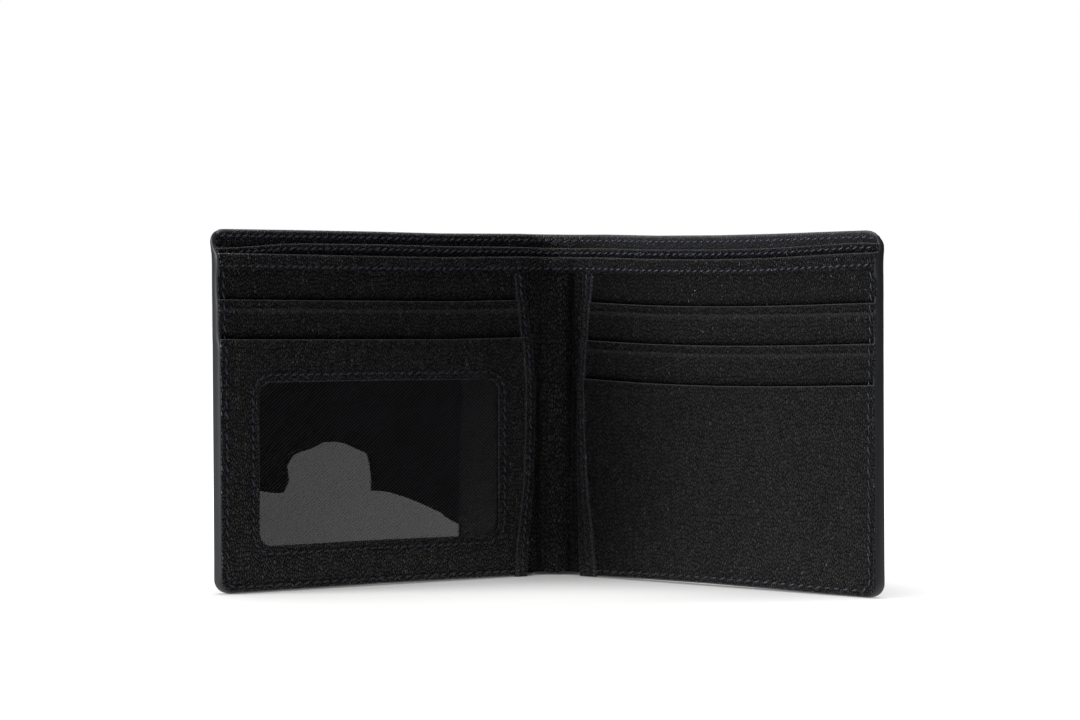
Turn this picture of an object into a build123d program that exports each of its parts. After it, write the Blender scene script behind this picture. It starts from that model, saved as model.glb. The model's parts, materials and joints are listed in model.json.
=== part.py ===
# Bifold wallet, standing on its lower edge and folded part-way open like a book.
#
# Frame: the origin is at the foot of the spine, midway between the two fold lines and in the
# middle of the cover leather. +Z is up the wallet's height, +X runs to the right wing, and -Y
# is the side that the wallet opens to.
#
# The wings and the spine are stacks of flat sheets. Inside a wing, u is the distance from its fold
# line, z the height, and n the distance inwards from the middle of the cover leather. A side is -1
# for the left wing, 1 for the right wing and 0 for the spine.

from build123d import *

import os
from math import atan2, cos, degrees, radians, sin, sqrt

# Overall sizes, in millimetres and degrees
wallet_height = 92.0
wing_length = 99.0  # fold line to outer edge
rest_angle = 36.5  # each wing's turn from lying flat, at rest
corner_radius = 4.0

# Thickness of each material
cover_leather = 1.0
lip_leather = 0.5
lining_fabric = 0.2
trim_leather = 0.25
wall_fabric = 0.2
base_leather = 0.4
hem_leather = 0.4
pocket_leather = 0.4
binding_leather = 0.3
window_film = 0.15
tab_fabric = 0.15

# Clearances
bill_gap = 0.1  # between the facing trims of the two note compartments
layer_gap = 0.05  # between neighbouring sheets of the card stack
closed_gap = 0.2  # from each wing's proudest stitch to the middle of the closed wallet
knuckle_gap = 0.1  # round each fold line
fold_start = 3.7  # where the inner sheets of a wing begin, so that they clear the spine

# Edges and seams
edge_width = 1.0  # the sewn and painted edge
edge_corner_gap = 0.2
lip_height = 12.0
lip_corner = 3.5
trim_height = 8.0
hem_height = 4.8
hem_back_height = 10.0

# Free top edges, each measured down from the one above it
divider_drop = 4.0  # below the wallet's top
wall_drop = 2.0
upper_slot_drop = 12.2
slot_step = 10.3
slot_overlap = 9.0  # leather that runs on behind the next pocket's top edge
upper_tab_foot = 23.5  # height of the foot of each pocket's fabric tab
middle_tab_foot = 13.2

# Binding over the inner ends of the pockets, cut to a shallow curve
binding_reach = 3.9  # nearest approach to the fold line, at mid height
binding_reach_end = 5.6  # the same at the top and the foot
binding_width = 3.2
binding_width_end = 4.8

# Identity card window
window_near = 15.9
window_end_margin = 10.6  # window to outer edge
window_low = 11.4
window_top_rail = 10.2
window_corner = 4.0
film_margin = 3.6
film_corner = 2.0

# Sewing
stitch_pitch = 3.05
stitch_length = 2.2
stitch_width = 0.45
stitch_height = 0.15
seam_inset = 1.8
lip_seam_inset = 1.7
trim_seam_inset = 1.1
hem_seam_rise = 1.3  # above the hem's lower edge

# Levels in the stack, measured inwards from the middle of the cover leather
cover_back = -cover_leather / 2
cover_front = cover_leather / 2
lip_front = cover_front + lip_leather
trim_back = lip_front + bill_gap
divider_back = trim_back + trim_leather
divider_front = divider_back + lining_fabric
trim_front = divider_front + trim_leather
hem_back = trim_front + bill_gap
wall_back = hem_back + trim_leather
wall_front = wall_back + wall_fabric
base_front = wall_front + base_leather
hem_front = base_front + hem_leather
pocket_step = layer_gap + pocket_leather
first_front = base_front + pocket_step
second_front = first_front + pocket_step
stack_front = second_front + pocket_step
proudest = stack_front + binding_leather + stitch_height
fold_half = proudest + closed_gap  # each fold line's distance from the middle of the spine
spine_half = fold_half - cover_leather / 2 - 2 * knuckle_gap
divider_top = wallet_height - divider_drop
wall_top = divider_top - wall_drop
divider_core_top = divider_top - trim_leather
wall_core_top = wall_top - trim_leather
hem_low = wall_top - hem_height
upper_slot = wall_top - upper_slot_drop
lower_slot = upper_slot - slot_step
third_slot = lower_slot - slot_step
upper_pocket_low = lower_slot - slot_overlap
middle_pocket_low = third_slot - slot_overlap
window_high = lower_slot - window_top_rail
window_far = wing_length - window_end_margin
lip_low = wallet_height - lip_height
sheet_far = wing_length - edge_width

# The card stack's front, as (lowest, highest, front) for each stretch of its height
levels = {
    -1: [
        (0.0, lower_slot, stack_front),
        (lower_slot, upper_slot, first_front),
        (upper_slot, hem_low, base_front),
    ],
    1: [
        (0.0, third_slot, stack_front),
        (third_slot, lower_slot, second_front),
        (lower_slot, upper_slot, first_front),
        (upper_slot, hem_low, base_front),
    ],
}
upper_edge = [(hem_low, wall_top, hem_front), (wall_top, divider_top, trim_front)]
side_name = {-1: "left", 1: "right"}


def sheet_plane(side, level=0.0):
    """The sheet plane of a wing or the spine at that level. Its x is side * u on a wing and the
    row's own x on the spine, its y is z, and it faces along n."""
    turn = radians(rest_angle) * abs(side)
    plane = Plane(
        origin=(side * fold_half, 0, 0),
        x_dir=(cos(turn), -side * sin(turn), 0),
        z_dir=(-side * sin(turn), -cos(turn), 0),
    )
    return plane.offset(level)


def curve_reach(z, middle, end):
    """How far from the fold line the binding's curve is at height z."""
    half = hem_low / 2
    bow = end - middle
    radius = (half**2 + bow**2) / (2 * bow)
    return middle + radius - sqrt(radius**2 - (z - half) ** 2)


def sheet(side, near, far, low, high, back, front):
    """A rectangular sheet between two places across the sheet plane and two heights."""
    with BuildPart() as made:
        with BuildSketch(sheet_plane(side, back)):
            with Locations(((near + far) / 2, (low + high) / 2)):
                Rectangle(abs(far - near), high - low)
        extrude(amount=front - back)
    return made


def spine_sheet(low, high, back, front):
    """A sheet as wide as the spine's inner side."""
    return sheet(0, -spine_half, spine_half, low, high, back, front)


def foot_arc(side, far, low, radius):
    """The rounded outer corner at the foot, inside the BuildLine in hand."""
    reach = radius * (1 - sqrt(0.5))
    ThreePointArc(
        (side * far, low + radius),
        (side * (far - reach), low + reach),
        (side * (far - radius), low),
    )


def curve_points(side, low, high, middle, end):
    """Three points of the binding's curve, from height low to height high."""
    return [(side * curve_reach(z, middle, end), z) for z in (low, (low + high) / 2, high)]


def sheet_outline(side, low, high):
    """A pocket sheet's face: its inner end follows the binding, and its outer corner is rounded
    where the sheet reaches the foot."""
    radius = corner_radius - edge_width + edge_corner_gap
    clear = binding_leather + layer_gap
    inner = curve_points(side, low, high, binding_reach + clear, binding_reach_end + clear)
    with BuildSketch() as made:
        with BuildLine():
            ThreePointArc(*inner)
            Line(inner[-1], (side * sheet_far, high))
            if low <= edge_width:
                Line((side * sheet_far, high), (side * sheet_far, low + radius))
                foot_arc(side, sheet_far, low, radius)
                Line((side * (sheet_far - radius), low), inner[0])
            else:
                Line((side * sheet_far, high), (side * sheet_far, low))
                Line((side * sheet_far, low), inner[0])
        make_face()
    return made.sketch


def pocket_sheet(side, low, high, back, front):
    """A sheet of the card stack, from inside the binding to the sewn edge."""
    with BuildPart() as made:
        with BuildSketch(sheet_plane(side, back)):
            add(sheet_outline(side, low, high))
        extrude(amount=front - back)
    return made


def wing_sheet(side, high, back, front):
    """A full sheet of the wing from the fold clearance to the sewn edge, with a rounded foot corner."""
    radius = corner_radius - edge_width + edge_corner_gap
    with BuildPart() as made:
        with BuildSketch(sheet_plane(side, back)):
            with BuildLine():
                Polyline(
                    (side * (sheet_far - radius), edge_width),
                    (side * fold_start, edge_width),
                    (side * fold_start, high),
                    (side * sheet_far, high),
                    (side * sheet_far, edge_width + radius),
                )
                foot_arc(side, sheet_far, edge_width, radius)
            make_face()
        extrude(amount=front - back)
    return made


def cover_wing(side):
    """The cover leather of one wing, with its round knuckle at the fold line and its top turned in."""
    with BuildPart() as made:
        with BuildSketch(sheet_plane(side, cover_back)):
            with Locations((side * wing_length / 2, wallet_height / 2)):
                Rectangle(wing_length, wallet_height)
        extrude(amount=cover_leather)
        outer = made.edges().filter_by(lambda edge: abs(edge.length - cover_leather) < 1e-6)
        outer = outer.sort_by_distance((side * fold_half, 0, wallet_height / 2))[-2:]
        fillet(outer, corner_radius)
        with BuildSketch(Plane.XY):
            with Locations((side * fold_half, 0)):
                Circle(cover_leather / 2)
        extrude(amount=wallet_height)
        with BuildSketch(sheet_plane(side, cover_front)):
            with BuildLine():
                reach = lip_corner * (1 - sqrt(0.5))
                Polyline(
                    (side * sheet_far, wallet_height - lip_corner),
                    (side * sheet_far, lip_low),
                    (side * fold_start, lip_low),
                    (side * fold_start, wallet_height),
                    (side * (sheet_far - lip_corner), wallet_height),
                )
                ThreePointArc(
                    (side * (sheet_far - lip_corner), wallet_height),
                    (side * (sheet_far - reach), wallet_height - reach),
                    (side * sheet_far, wallet_height - lip_corner),
                )
            make_face()
        extrude(amount=lip_leather)
    return made


def cover_over_spine():
    """The cover leather between the fold lines, hollowed to clear both knuckles, with its top turned in."""
    knuckle = cover_leather / 2 + knuckle_gap
    tip = fold_half - sqrt(knuckle**2 - cover_front**2)
    bend = knuckle * sqrt(0.5)
    with BuildPart() as made:
        with BuildSketch(Plane.XY):
            with BuildLine():
                Polyline(
                    (-(fold_half - knuckle), 0),
                    (-(fold_half - knuckle), cover_back),
                    (fold_half - knuckle, cover_back),
                    (fold_half - knuckle, 0),
                )
                ThreePointArc(
                    (fold_half - knuckle, 0), (fold_half - bend, bend), (tip, cover_front)
                )
                Line((tip, cover_front), (-tip, cover_front))
                ThreePointArc(
                    (-tip, cover_front), (-(fold_half - bend), bend), (-(fold_half - knuckle), 0)
                )
            make_face()
        extrude(amount=wallet_height)
        with BuildSketch(sheet_plane(0, cover_front)):
            with Locations((0, wallet_height - lip_height / 2)):
                Rectangle(2 * spine_half, lip_height)
        extrude(amount=lip_leather)
    return made


def folded_strip(side, core_back, core_front, top, back_leg, front_leg):
    """A strip folded over the top of the sheets between core_back and core_front. A leg is how
    thick it is and how far it reaches down."""
    near, far = (-spine_half, spine_half) if side == 0 else (side * fold_start, side * sheet_far)
    crown = min(back_leg[0], front_leg[0])
    with BuildPart() as made:
        for back, thickness, depth in (
            (core_back - back_leg[0], *back_leg),
            (core_back, core_front - core_back, crown),
            (core_front, *front_leg),
        ):
            with BuildSketch(sheet_plane(side, back)):
                with Locations(((near + far) / 2, top - depth / 2)):
                    Rectangle(abs(far - near), depth)
            extrude(amount=thickness)
    return made


def edge_band(side):
    """The sewn and painted edge of the inner sheets, down the outer side and along the foot."""
    inner_radius = corner_radius - edge_width
    with BuildPart() as made:
        for low, high, front in levels[side] + upper_edge:
            with BuildSketch(sheet_plane(side, cover_front)):
                with BuildLine():
                    Polyline(
                        (side * (wing_length - corner_radius), 0),
                        (side * fold_start, 0),
                        (side * fold_start, edge_width),
                        (side * (sheet_far - inner_radius), edge_width),
                    )
                    foot_arc(side, sheet_far, edge_width, inner_radius)
                    Polyline(
                        (side * sheet_far, edge_width + inner_radius),
                        (side * sheet_far, divider_top),
                        (side * wing_length, divider_top),
                        (side * wing_length, corner_radius),
                    )
                    foot_arc(side, wing_length, 0, corner_radius)
                make_face()
                with Locations((side * wing_length / 2, (low + high) / 2)):
                    Rectangle(wing_length, high - low, mode=Mode.INTERSECT)
            extrude(amount=front - cover_front)
    return made


def pocket_binding(side):
    """The strip folded over the inner ends of the pockets, stepping down with the stack."""
    far_middle = binding_reach + binding_width
    far_end = binding_reach_end + binding_width_end
    wall = (binding_reach + binding_leather, binding_reach_end + binding_leather)
    with BuildPart() as made:
        for foot, high, front in levels[side]:
            low = max(foot, edge_width)
            for back, top, far in (
                (base_front, front, wall),
                (front, front + binding_leather, (far_middle, far_end)),
            ):
                if top <= back:
                    continue
                near_curve = curve_points(side, low, high, binding_reach, binding_reach_end)
                far_curve = curve_points(side, low, high, *far)
                with BuildSketch(sheet_plane(side, back)):
                    with BuildLine():
                        ThreePointArc(*near_curve)
                        Line(near_curve[-1], far_curve[-1])
                        ThreePointArc(*far_curve)
                        Line(far_curve[0], near_curve[0])
                    make_face()
                extrude(amount=top - back)
    return made


def window_outline(margin, radius):
    """The window's shape, larger all round by a margin."""
    with BuildSketch() as made:
        with Locations((-(window_near + window_far) / 2, (window_low + window_high) / 2)):
            RectangleRounded(
                window_far - window_near + 2 * margin, window_high - window_low + 2 * margin, radius
            )
    return made.sketch


def window_frame():
    """The leather front of the identity card pocket, with its rounded window."""
    with BuildPart() as made:
        with BuildSketch(sheet_plane(-1, stack_front - pocket_leather)):
            add(sheet_outline(-1, edge_width, lower_slot))
            add(window_outline(0, window_corner), mode=Mode.SUBTRACT)
        extrude(amount=pocket_leather)
    return made


def window_pane():
    """The clear film sewn behind the window."""
    with BuildPart() as made:
        with BuildSketch(sheet_plane(-1, stack_front - pocket_leather - window_film)):
            add(window_outline(film_margin, film_corner))
        extrude(amount=window_film)
    return made


def level_seam(side, z):
    """A straight seam across a wing or the spine at height z."""
    near, far = side * fold_start, side * (wing_length - seam_inset)
    if side == 0:
        near, far = -spine_half, spine_half
    with BuildLine() as made:
        Line((near, z), (far, z))
    return made.wire()


def binding_seam(side):
    """The seam down the middle of the binding."""
    middle = binding_reach + binding_width / 2
    end = binding_reach_end + binding_width_end / 2
    high = hem_low - stitch_length / 2
    with BuildLine() as made:
        ThreePointArc(*curve_points(side, edge_width + seam_inset, high, middle, end))
    return made.wire()


def window_seam():
    """The seam round the window."""
    return window_outline(seam_inset, window_corner + seam_inset).face().outer_wire()


def perimeter_seam(side):
    """The seam along the foot of the card stack and up its outer side."""
    far = side * (wing_length - seam_inset)
    near = side * (binding_reach_end + binding_width_end)
    with BuildLine() as made:
        FilletPolyline(
            (near, seam_inset), (far, seam_inset), (far, hem_low), radius=corner_radius - seam_inset
        )
    return made.wire()


def cover_seam(side):
    """The seam round the outside of the cover."""
    far = side * (wing_length - seam_inset)
    near = side * stitch_pitch / 2
    high = wallet_height - lip_seam_inset
    with BuildLine() as made:
        FilletPolyline(
            (near, seam_inset),
            (far, seam_inset),
            (far, high),
            (near, high),
            radius=corner_radius - seam_inset,
        )
    return made.wire()


def card_front(side, z):
    """The card stack's front at height z, or None above it."""
    for low, high, front in levels[side]:
        if low <= z < high:
            return front
    return None


def binding_front(side, z):
    """The binding's front at height z, or None above it."""
    front = card_front(side, z)
    return None if front is None else front + binding_leather


def sew(side, seams, out=1):
    """The thread that shows along some seams, one flat stitch for each pitch. Each seam is a wire and
    the level that it lies on, which is a number, or a rule that gives one from the side and the height.
    A stitch that would bridge two levels is left out, because the thread dives there."""
    places = []
    for wire, level in seams:
        level_at = level if callable(level) else lambda _side, _z, level=level: level
        count = int(wire.length / stitch_pitch)
        for index in range(count):
            share = (index + 0.5) / count
            point = wire @ share
            heading = wire % share
            rise = heading.Y * stitch_length / 2
            found = {level_at(side, point.Y + sign * rise) for sign in (-1, 0, 1)}
            if len(found) != 1 or None in found:
                continue
            turn = degrees(atan2(heading.Y, heading.X))
            base = sheet_plane(side, found.pop()).location
            places.append(base * Location((point.X, point.Y, 0), (0, 0, turn)))
    standing = Align.MIN if out > 0 else Align.MAX
    with BuildPart() as made:
        with Locations(*places):
            Box(
                stitch_length,
                stitch_width,
                stitch_height,
                align=(Align.CENTER, Align.CENTER, standing),
            )
    return made


def top_seams(side):
    """The seams along the turned-in top, the divider's trim and the hem."""
    return [
        (level_seam(side, wallet_height - lip_seam_inset), lip_front),
        (level_seam(side, divider_top - trim_seam_inset), trim_front),
        (level_seam(side, hem_low + hem_seam_rise), hem_front),
    ]


def divider_trim(side):
    """The leather folded over the top of the divider between the note compartments."""
    leg = (trim_leather, trim_height)
    return folded_strip(side, divider_back, divider_front, divider_top, leg, leg)


def top_hem(side):
    """The leather folded over the top of the front wall."""
    back_leg = (trim_leather, hem_back_height)
    front_leg = (hem_leather, hem_height)
    return folded_strip(side, wall_back, base_front, wall_top, back_leg, front_leg)


def pocket_tab(side, low, high, behind):
    """The fabric below a card pocket's leather, in front of the level behind."""
    back = behind + layer_gap
    near, far = side * (binding_reach_end + binding_width), side * sheet_far
    return sheet(side, near, far, low, high, back, back + tab_fabric)


def save(name, made):
    """Labels a finished piece and writes it."""
    made.part.label = name
    export_step(made.part, f"parts/{name}.step")


os.makedirs("parts", exist_ok=True)

# The spine
lining_front = cover_front + lining_fabric
save("cover_spine", cover_over_spine())
save("cover_lining_spine", spine_sheet(edge_width, lip_low, cover_front, lining_front))
save("bill_divider_spine", spine_sheet(edge_width, divider_core_top, divider_back, divider_front))
save("divider_trim_spine", divider_trim(0))
save("bill_wall_spine", spine_sheet(edge_width, wall_core_top, wall_back, wall_front))
save("centre_strip", spine_sheet(edge_width, wall_core_top, wall_front, base_front))
save("top_hem_spine", top_hem(0))
save("foot_band_spine", spine_sheet(0, edge_width, cover_front, base_front))
save("stitches_spine", sew(0, top_seams(0)))
spine_outer_seams = [
    (level_seam(0, seam_inset), cover_back),
    (level_seam(0, wallet_height - lip_seam_inset), cover_back),
]
save("outer_stitches_spine", sew(0, spine_outer_seams, out=-1))

# What both wings have
for side, word in side_name.items():
    save(f"cover_{word}", cover_wing(side))
    save(f"cover_lining_{word}", wing_sheet(side, lip_low, cover_front, lining_front))
    save(f"bill_divider_{word}", wing_sheet(side, divider_core_top, divider_back, divider_front))
    save(f"divider_trim_{word}", divider_trim(side))
    save(f"bill_wall_{word}", wing_sheet(side, wall_core_top, wall_back, wall_front))
    save(f"base_panel_{word}", wing_sheet(side, wall_core_top, wall_front, base_front))
    save(f"top_hem_{word}", top_hem(side))
    save(f"edge_band_{word}", edge_band(side))
    save(f"pocket_binding_{word}", pocket_binding(side))
    upper_pocket = pocket_sheet(
        side, upper_pocket_low, upper_slot, base_front + layer_gap, first_front
    )
    save(f"upper_card_pocket_{word}", upper_pocket)
    upper_tab = pocket_tab(side, upper_tab_foot, upper_pocket_low, base_front)
    save(f"upper_pocket_tab_{word}", upper_tab)
    save(f"edge_stitches_{word}", sew(side, [(perimeter_seam(side), card_front)]))
    save(f"binding_stitches_{word}", sew(side, [(binding_seam(side), binding_front)]))
    save(f"top_stitches_{word}", sew(side, top_seams(side)))
    save(f"outer_stitches_{word}", sew(side, [(cover_seam(side), cover_back)], out=-1))

# The left wing's identity card pocket
id_lining_back = first_front + layer_gap
id_lining_front = id_lining_back + layer_gap + tab_fabric
save("id_window_frame", window_frame())
save("id_window_film", window_pane())
save(
    "id_pocket_lining",
    pocket_sheet(-1, edge_width, lower_slot - seam_inset, id_lining_back, id_lining_front),
)
save("window_stitches", sew(-1, [(window_seam(), stack_front)]))

# The right wing's second and third card pockets
save(
    "middle_card_pocket",
    pocket_sheet(1, middle_pocket_low, lower_slot, first_front + layer_gap, second_front),
)
save("middle_pocket_tab", pocket_tab(1, middle_tab_foot, middle_pocket_low, first_front))
save(
    "lower_card_pocket",
    pocket_sheet(1, edge_width, third_slot, second_front + layer_gap, stack_front),
)
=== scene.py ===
import json
import math

import bmesh
import bpy
import numpy as np
from mathutils import Euler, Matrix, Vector


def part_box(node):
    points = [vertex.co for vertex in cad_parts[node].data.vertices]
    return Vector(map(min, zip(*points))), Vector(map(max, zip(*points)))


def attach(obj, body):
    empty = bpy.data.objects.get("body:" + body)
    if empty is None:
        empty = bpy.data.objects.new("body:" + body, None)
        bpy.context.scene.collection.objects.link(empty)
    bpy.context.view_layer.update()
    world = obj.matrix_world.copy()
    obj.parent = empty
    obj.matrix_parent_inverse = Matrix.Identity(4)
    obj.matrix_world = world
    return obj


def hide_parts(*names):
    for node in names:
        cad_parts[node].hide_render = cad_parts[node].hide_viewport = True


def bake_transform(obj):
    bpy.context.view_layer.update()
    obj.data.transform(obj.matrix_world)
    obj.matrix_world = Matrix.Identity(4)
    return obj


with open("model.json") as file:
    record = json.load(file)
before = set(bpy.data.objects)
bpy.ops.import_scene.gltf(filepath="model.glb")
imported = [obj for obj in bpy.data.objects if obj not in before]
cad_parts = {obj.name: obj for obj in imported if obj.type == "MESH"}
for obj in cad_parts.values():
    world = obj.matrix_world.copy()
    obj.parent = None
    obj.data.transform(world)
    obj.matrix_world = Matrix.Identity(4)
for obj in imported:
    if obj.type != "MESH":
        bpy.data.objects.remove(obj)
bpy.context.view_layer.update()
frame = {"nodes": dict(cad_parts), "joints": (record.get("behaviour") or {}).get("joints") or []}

mm = 0.001

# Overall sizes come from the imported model. Lengths are in millimetres, and a side is -1 or 1.
# s runs outwards from the middle of the spine along the cover, z is the height, and n is the
# distance inwards from the middle of the cover leather.
rightFold = next(j for j in frame["joints"] if j["name"] == "right_fold")
restTurn = math.radians(-rightFold["range_deg"][0])
foldHalf = rightFold["pos_m"][0] / mm
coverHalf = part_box("cover_spine")[1].y / mm
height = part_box("cover_spine")[1].z / mm
coverEnd = (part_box("cover_right")[1].x / mm - foldHalf - coverHalf * math.sin(restTurn)) / math.cos(restTurn)
reach = foldHalf + coverEnd  # from the middle of the spine to a wing's outer edge
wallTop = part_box("top_hem_spine")[1].z / mm
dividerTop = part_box("divider_trim_spine")[1].z / mm
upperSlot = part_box("upper_card_pocket_right")[1].z / mm
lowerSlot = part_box("middle_card_pocket")[1].z / mm
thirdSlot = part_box("lower_card_pocket")[1].z / mm
sideName = {-1: "Left", 1: "Right"}

# Where each sheet lies in the stack, as (back, front)
level = {
    "cover": (-coverHalf, coverHalf),
    "lip": (0.5, 1.0),
    "coverLining": (0.5, 0.7),
    "divider": (1.35, 1.55),
    "trim": (1.1, 1.8),
    "noteWall": (2.15, 2.35),
    "base": (2.35, 2.75),
    "hem": (1.9, 3.15),
    "upperPocket": (2.8, 3.2),
    "middlePocket": (3.25, 3.65),
    "lowerPocket": (3.7, 4.1),
    "idLining": (3.16, 3.36),
    "film": (3.5, 3.64),
}
bend = {"half": 2.5}  # how far a bend runs to each side of its fold line
edge = {"inset": 0.45, "depth": 0.95, "corner": 3.6, "power": 2.6}
bindingPad = 0.3
patternStep = 90.0  # moves the grain on from one sheet to the next


def say(text):
    print("wallet:", text, flush=True)


def ease(t):
    t = np.clip(t, 0.0, 1.0)
    return t * t * (3 - 2 * t)


# How far a used wallet is from square: lifts of its top and its foot along its width, and how
# much further each wing's outer edge stands out at the top and at the foot
settled = {
    "across": [-104, -78, -56, -36, -12, 0, 15, 32, 52, 70, 86, 104],
    "top": [0.55, 0.5, 0.38, 0.12, 0.3, 0.15, 0.0, -0.5, -0.65, -0.5, -0.2, 0.1],
    "foot": [0.0, 0.1, 0.25, 0.15, 0.0, 0.0, 0.1, 0.4, 0.5, 0.35, 0.1, 0.0],
    "outer": {-1: (0.5, 0.05), 1: (0.3, 1.1)},
    "worn": {-1: 0.0, 1: 0.9},  # how far the top outer corner has worn in
}


def settle(side, s, z):
    rise = z / height
    top = np.interp(side * s, settled["across"], settled["top"])
    foot = np.interp(side * s, settled["across"], settled["foot"])
    outTop, outFoot = settled["outer"][side]
    share = np.clip((s - foldHalf) / coverEnd, 0, 1) ** 2
    worn = settled["worn"][side] * ease((s - reach + 6) / 6) * ease((z - height + 6) / 6)
    return s + share * (outFoot + (outTop - outFoot) * rise) - worn, z + top * rise + foot * (1 - rise) - worn


def place(side, s, z, n):
    # From flat coordinates to the row frame, round the bend at the fold line
    s, z, n = np.broadcast_arrays(*[np.asarray(v, float) for v in (s, z, n)])
    s, z = settle(side, s, z)
    half = bend["half"]
    radius = half / math.tan(restTurn / 2)
    turn = np.clip((s - (foldHalf - half)) / (2 * half), 0, 1) * restTurn
    before = np.minimum(s, foldHalf - half)
    after = np.maximum(s - (foldHalf + half), 0)
    across = before + (radius - n) * np.sin(turn) + after * math.cos(restTurn)
    inwards = radius - (radius - n) * np.cos(turn) + after * math.sin(restTurn)
    return np.stack([side * across, -inwards, z], axis=-1) * mm


def outward(side, s, back=False):
    # The direction that a sheet's face looks
    half = bend["half"]
    turn = np.clip((np.asarray(s, float) - (foldHalf - half)) / (2 * half), 0, 1) * restTurn
    flip = -1 if back else 1
    return np.stack([-side * np.sin(turn), -np.cos(turn), 0 * turn], axis=-1) * flip


def spread(low, high, step, nose=0.0, extra=()):
    # Even steps from low to high, with close ones round both rounded edges
    close = nose * np.array([0.0, 0.08, 0.3, 0.6, 1.0])
    inner = np.linspace(low + nose, high - nose, max(2, round((high - low) / step) + 1))
    return np.unique(np.round(np.concatenate([inner, low + close, high - close, list(extra)]), 4))


def wave(s, z, size, amount, seed):
    # A smooth uneven surface, the same on each run
    draw = np.random.default_rng(seed)
    total = 0.0
    for _ in range(7):
        heading = draw.uniform(0, math.pi)
        pace = 2 * math.pi / (size * draw.uniform(0.7, 1.7))
        shift = draw.uniform(0, 2 * math.pi)
        total = total + np.sin((s * math.cos(heading) + z * math.sin(heading)) * pace + shift)
    return total * amount / 4


def dip(distance, depth, width):
    return -depth * np.exp(-((distance / width) ** 2))


def roundCorner(s, z, high=False, far=None):
    # Pulls a sheet's square outer corners into the wallet's round ones
    far = reach if far is None else far
    radius = edge["corner"] - (reach - far)
    dx = np.clip((s - (far - radius)) / radius, 0, 1)

    def pulled(s, z, dz, up):
        return (
            np.where(dz > 0, s - radius * dx * (1 - np.sqrt(1 - dz**2 / 2)), s),
            np.where(dx > 0, z + up * radius * dz * (1 - np.sqrt(1 - dx**2 / 2)), z),
        )

    s, z = pulled(s, z, np.clip((reach - far + radius - z) / radius, 0, 1), 1)
    if high:
        s, z = pulled(s, z, np.clip((z - (height - radius)) / radius, 0, 1), -1)
    return s, z


def meshPiece(name, points, faces, flat, edgeHighlight, material, shade=None):
    # Joins the doubled points of a grid's borders, and keeps each point's flat place as its UV
    mesh = bpy.data.meshes.new(name)
    mesh.from_pydata(points.tolist(), [], faces)
    flatPlace = np.column_stack([flat, np.zeros(len(flat))])
    carrier = mesh.attributes.new("flat", "FLOAT_VECTOR", "POINT")
    carrier.data.foreach_set("vector", flatPlace.astype(np.float32).ravel())
    # Two masks that the leather reads: a painted highlight along edges, and painted shade
    masks = {"edgeHighlight": edgeHighlight, "shade": np.zeros(len(edgeHighlight)) if shade is None else shade}
    for label, mask in masks.items():
        mesh.attributes.new(label, "FLOAT", "POINT").data.foreach_set("value", mask.astype(np.float32))
    work = bmesh.new()
    work.from_mesh(mesh)
    bmesh.ops.remove_doubles(work, verts=work.verts, dist=2e-6)
    bmesh.ops.dissolve_degenerate(work, edges=work.edges, dist=1e-7)
    bmesh.ops.recalc_face_normals(work, faces=work.faces)
    work.to_mesh(mesh)
    work.free()
    flatPlace = np.zeros(len(mesh.vertices) * 3, np.float32)
    mesh.attributes["flat"].data.foreach_get("vector", flatPlace)
    flatPlace = flatPlace.reshape(-1, 3)
    corners = np.zeros(len(mesh.loops), np.int32)
    mesh.loops.foreach_get("vertex_index", corners)
    layer = mesh.uv_layers.new(name="flatUv")
    layer.data.foreach_set("uv", (flatPlace[corners][:, :2] * mm).astype(np.float32).ravel())
    mesh.attributes.remove(mesh.attributes["flat"])
    mesh.shade_smooth()
    mesh.set_sharp_from_angle(angle=math.radians(62))
    piece = bpy.data.objects.new(name, mesh)
    bpy.context.scene.collection.objects.link(piece)
    mesh.materials.append(material)
    return piece


def shell(name, side, s, z, mid, half, material, edgeHighlight=None, ring=False, shade=None, paintedLipLight=0.0):
    # A closed sheet of two faces, mid + half and mid - half, on a grid. A ring closes on itself.
    # Only its front has painted shade or painted light on the lip.
    across, up = s.shape
    count = across * up
    points = np.concatenate([
        place(side, s, z, mid + half).reshape(-1, 3), place(side, s, z, mid - half).reshape(-1, 3)
    ])
    index = np.arange(count).reshape(across, up)
    faces = []
    for i in range(across if ring else across - 1):
        k = (i + 1) % across
        for j in range(up - 1):
            quad = [index[i, j], index[k, j], index[k, j + 1], index[i, j + 1]]
            faces.append([int(v) for v in quad])
            faces.append([int(v) + count for v in reversed(quad)])
    borders = [index[:, 0], index[:, -1]]
    if ring:
        borders = [np.append(b, b[0]) for b in borders]
    else:
        borders += [index[0, :], index[-1, :]]
    for border in borders:
        for a, b in zip(border[:-1], border[1:]):
            faces.append([int(a), int(b), int(b) + count, int(a) + count])
    flat = np.column_stack([side * s.ravel(), z.ravel() + patternStep * round(float(np.mean(mid)), 1)])
    edgeHighlight = np.zeros_like(s) if edgeHighlight is None else edgeHighlight
    shade = np.zeros_like(s) if shade is None else shade
    flat = np.concatenate([flat, flat])
    edgeHighlight = np.concatenate([(edgeHighlight + paintedLipLight).ravel(), edgeHighlight.ravel()])
    return meshPiece(name, points, faces, flat, edgeHighlight, material, np.append(shade.ravel(), 0 * shade.ravel()))


def sweptPiece(name, side, s, z, n, edgeHighlight, material):
    # A profile, on the first axis, carried along a path, on the second, and shut at both ends
    count, along = s.shape
    index = np.arange(count * along).reshape(count, along)
    faces = []
    for i in range(count):
        k = (i + 1) % count
        for j in range(along - 1):
            faces.append([int(v) for v in (index[i, j], index[k, j], index[k, j + 1], index[i, j + 1])])
    faces.append([int(v) for v in index[:, 0]])
    faces.append([int(v) for v in index[:, -1]])
    flat = np.column_stack([s.ravel(), z.ravel()])
    return meshPiece(name, place(side, s, z, n).reshape(-1, 3), faces, flat, edgeHighlight.ravel(), material)


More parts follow.
